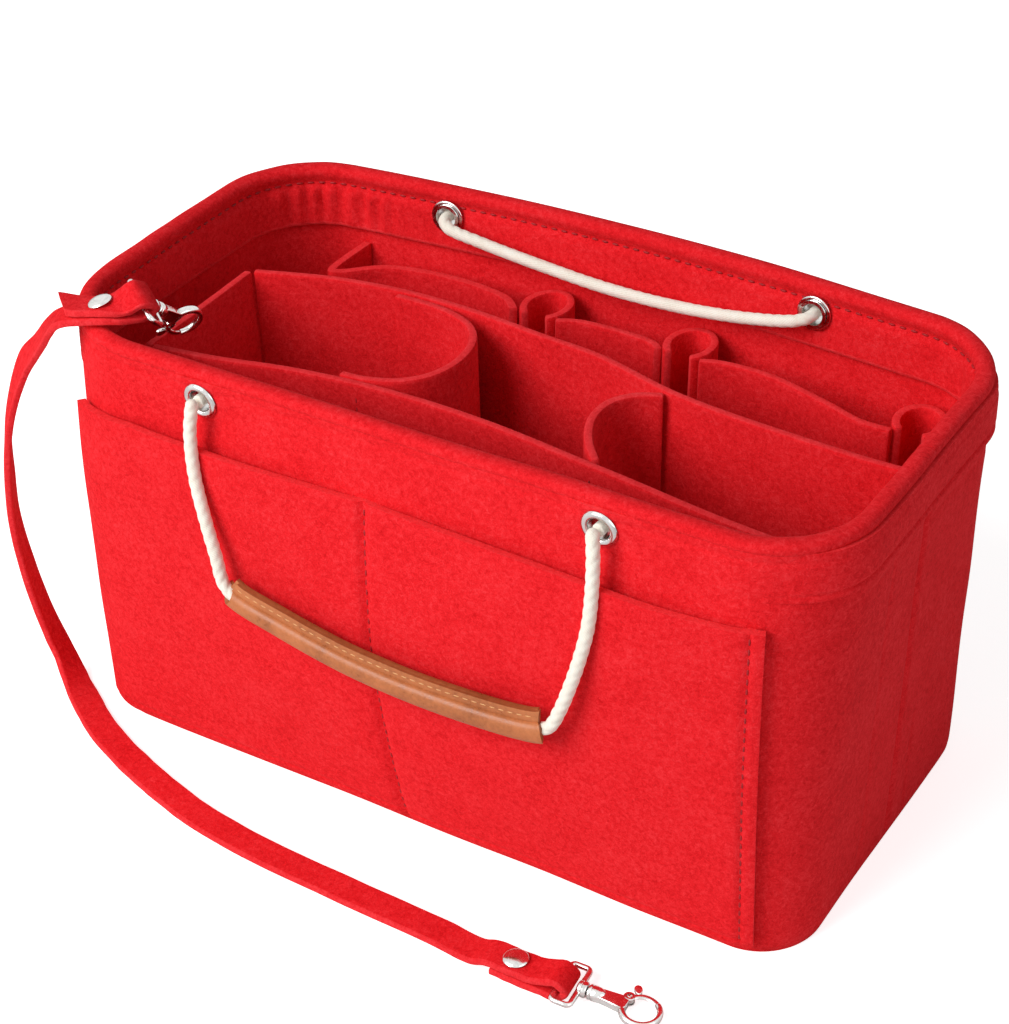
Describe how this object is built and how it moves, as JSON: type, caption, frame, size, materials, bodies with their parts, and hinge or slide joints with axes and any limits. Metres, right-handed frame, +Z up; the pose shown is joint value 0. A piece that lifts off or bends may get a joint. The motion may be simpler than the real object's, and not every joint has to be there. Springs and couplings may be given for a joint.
{
  "type": "purse organizer insert",
  "caption": "Open felt tub with rounded corners, inner dividers and pen loops, rope handles in eyelets with leather sleeves, and a flat key strap with lobster clasps.",
  "frame": {"origin": "middle of the base panel's underside", "axes": "+Z up out of the open top, +X along the long side to the right seen from the front pocket, -Y towards the front pocket"},
  "size_m": [0.3304, 0.219, 0.1773],
  "materials": {
    "felt": "thick red felt with a fuzzy surface",
    "cotton_rope": "twisted cream cotton",
    "tan_leather": "semi-matte tan leather",
    "plated_metal": "polished silver plating"
  },
  "bodies": {
    "tub": {"front_wall": "felt", "back_wall": "felt", "base_panel": "felt", "rim_binding": "felt", "right_side_band": "felt", "left_side_band": "felt", "front_outer_pocket": "felt", "back_outer_pocket": "felt", "centre_divider": "felt", "front_divider": "felt", "left_end_panel": "felt", "left_cup_strip": "felt", "right_cup_strip": "felt", "left_pen_loop": "felt", "middle_pen_loop": "felt", "right_pen_loop": "felt", "left_inner_pocket": "felt", "middle_inner_pocket": "felt", "right_inner_pocket": "felt", "front_left_eyelet": "plated_metal", "front_left_washer": "plated_metal", "front_right_eyelet": "plated_metal", "front_right_washer": "plated_metal", "back_left_eyelet": "plated_metal", "back_left_washer": "plated_metal", "back_right_eyelet": "plated_metal", "back_right_washer": "plated_metal", "front_inner_rope": "cotton_rope", "back_inner_rope": "cotton_rope", "key_strap": "felt", "inner_end_rivet": "plated_metal", "outer_end_rivet": "plated_metal", "inner_clasp_loop": "plated_metal", "outer_clasp_loop": "plated_metal"},
    "front_handle": {"front_handle_rope": "cotton_rope", "front_leather_sleeve": "tan_leather"},
    "back_handle": {"back_handle_rope": "cotton_rope", "back_leather_sleeve": "tan_leather"},
    "inner_hook": {"inner_clasp_hook": "plated_metal"},
    "inner_gate": {"inner_clasp_gate": "plated_metal"},
    "outer_hook": {"outer_clasp_hook": "plated_metal"},
    "outer_gate": {"outer_clasp_gate": "plated_metal"}
  },
  "joints": [
    {"name": "front_handle_swing", "type": "hinge", "parent": "tub", "child": "front_handle", "pos_m": [0, -0.0784, 0.1504], "axis": [-1, 0, 0], "range_deg": [0, 165]},
    {"name": "back_handle_swing", "type": "hinge", "parent": "tub", "child": "back_handle", "pos_m": [0, 0.0852, 0.1504], "axis": [1, 0, 0], "range_deg": [0, 165]},
    {"name": "inner_hook_swivel", "type": "hinge", "parent": "tub", "child": "inner_hook", "pos_m": [-0.11075, -0.0571, 0.1698], "axis": [0, 0.7502, -0.6612], "continuous": true},
    {"name": "inner_gate_press", "type": "hinge", "parent": "inner_hook", "child": "inner_gate", "pos_m": [-0.11258, -0.04204, 0.15328], "axis": [0.7994, -0.3972, -0.4507], "range_deg": [0, 28], "stiffness_Nm_per_rad": 0.02},
    {"name": "outer_hook_swivel", "type": "hinge", "parent": "tub", "child": "outer_hook", "pos_m": [0.0845, -0.1165, 0.0046], "axis": [0.9923, 0.0992, -0.0744], "continuous": true},
    {"name": "outer_gate_press", "type": "hinge", "parent": "outer_hook", "child": "outer_gate", "pos_m": [0.10624, -0.11126, 0.00295], "axis": [-0.0741, -0.0074, -0.9972], "range_deg": [0, 28], "stiffness_Nm_per_rad": 0.02}
  ]
}
